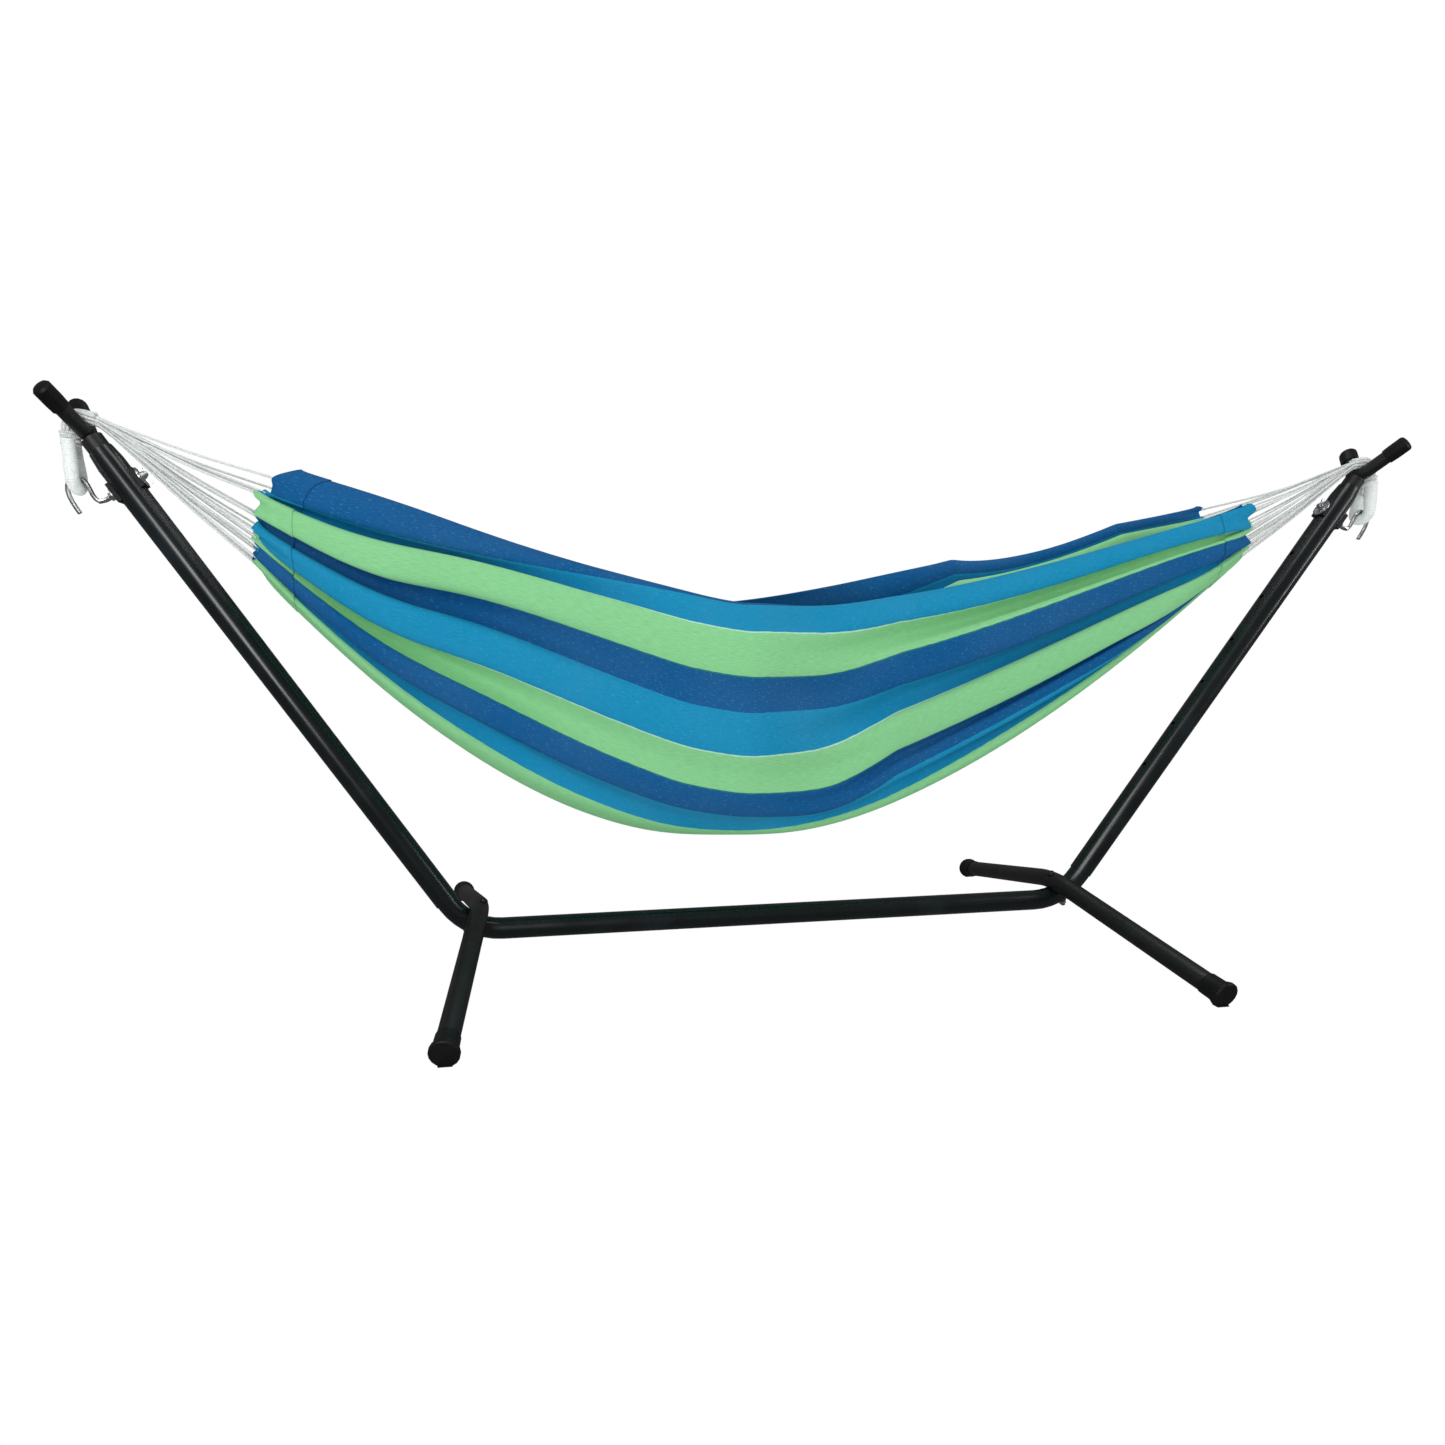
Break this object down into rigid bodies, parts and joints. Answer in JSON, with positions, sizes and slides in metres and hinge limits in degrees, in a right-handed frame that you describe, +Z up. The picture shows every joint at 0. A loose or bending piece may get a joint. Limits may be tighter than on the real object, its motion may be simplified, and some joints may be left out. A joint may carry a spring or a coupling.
{
  "type": "hammock on stand",
  "caption": "Striped cloth hammock slung by fanned cords over the forked tops of two sloping arms on a free-standing low steel stand, for lying in outdoors",
  "frame": {"origin": "on the floor, under the middle of the base tube", "axes": "+X along the hammock to its right end, +Y to the back, +Z up"},
  "size_m": [2.6712, 0.9838, 1.0819],
  "materials": {
    "stand_black": "gloss black powder coat",
    "foot_black": "satin black powder coat",
    "cap_black": "moulded black plastic",
    "zinc": "bright zinc plate",
    "sleeve_steel": "plain steel, hidden inside the base tube",
    "cord_white": "off-white twisted cotton cord",
    "hammock_fabric": "woven cotton in lengthwise blue and lime-green stripes"
  },
  "bodies": {
    "stand": {"left_base_tube": "stand_black", "left_arm_tube": "stand_black", "left_fork": "foot_black", "left_fork_cap_front": "cap_black", "left_fork_cap_back": "cap_black", "left_foot_tube": "foot_black", "left_foot_cap_front": "cap_black", "left_foot_cap_back": "cap_black", "left_foot_bolt": "foot_black", "left_foot_bolt_washer": "zinc", "left_foot_bolt_nut": "zinc", "left_hook_rod": "zinc", "left_outer_saddle": "cap_black", "left_inner_saddle": "cap_black", "left_outer_washer": "zinc", "left_inner_washer": "zinc", "left_hook_nut": "zinc", "left_eye_rope": "cord_white", "left_whipping_collar": "cord_white", "right_base_tube": "stand_black", "right_arm_tube": "stand_black", "right_fork": "foot_black", "right_fork_cap_front": "cap_black", "right_fork_cap_back": "cap_black", "right_foot_tube": "foot_black", "right_foot_cap_front": "cap_black", "right_foot_cap_back": "cap_black", "right_foot_bolt": "foot_black", "right_foot_bolt_washer": "zinc", "right_foot_bolt_nut": "zinc", "right_hook_rod": "zinc", "right_outer_saddle": "cap_black", "right_inner_saddle": "cap_black", "right_outer_washer": "zinc", "right_inner_washer": "zinc", "right_hook_nut": "zinc", "right_eye_rope": "cord_white", "right_whipping_collar": "cord_white", "base_joint_sleeve": "sleeve_steel"},
    "hammock": {"hammock_bed": "hammock_fabric", "left_hem": "hammock_fabric", "right_hem": "hammock_fabric", "left_clew_cords": "cord_white", "right_clew_cords": "cord_white"},
    "left_wing_nut": {"left_wing_nut": "zinc"},
    "right_wing_nut": {"right_wing_nut": "zinc"}
  },
  "joints": [
    {"name": "hammock_swing", "type": "hinge", "parent": "stand", "child": "hammock", "pos_m": [0, 0, 1.0368], "axis": [1, 0, 0], "range_deg": [-30, 30]},
    {"name": "left_wing_nut_turn", "type": "hinge", "parent": "stand", "child": "left_wing_nut", "pos_m": [-1.23243, 0, 0.93113], "axis": [-0.8434, 0, -0.5373], "continuous": true},
    {"name": "right_wing_nut_turn", "type": "hinge", "parent": "stand", "child": "right_wing_nut", "pos_m": [1.23243, 0, 0.93113], "axis": [0.8434, 0, -0.5373], "continuous": true}
  ]
}
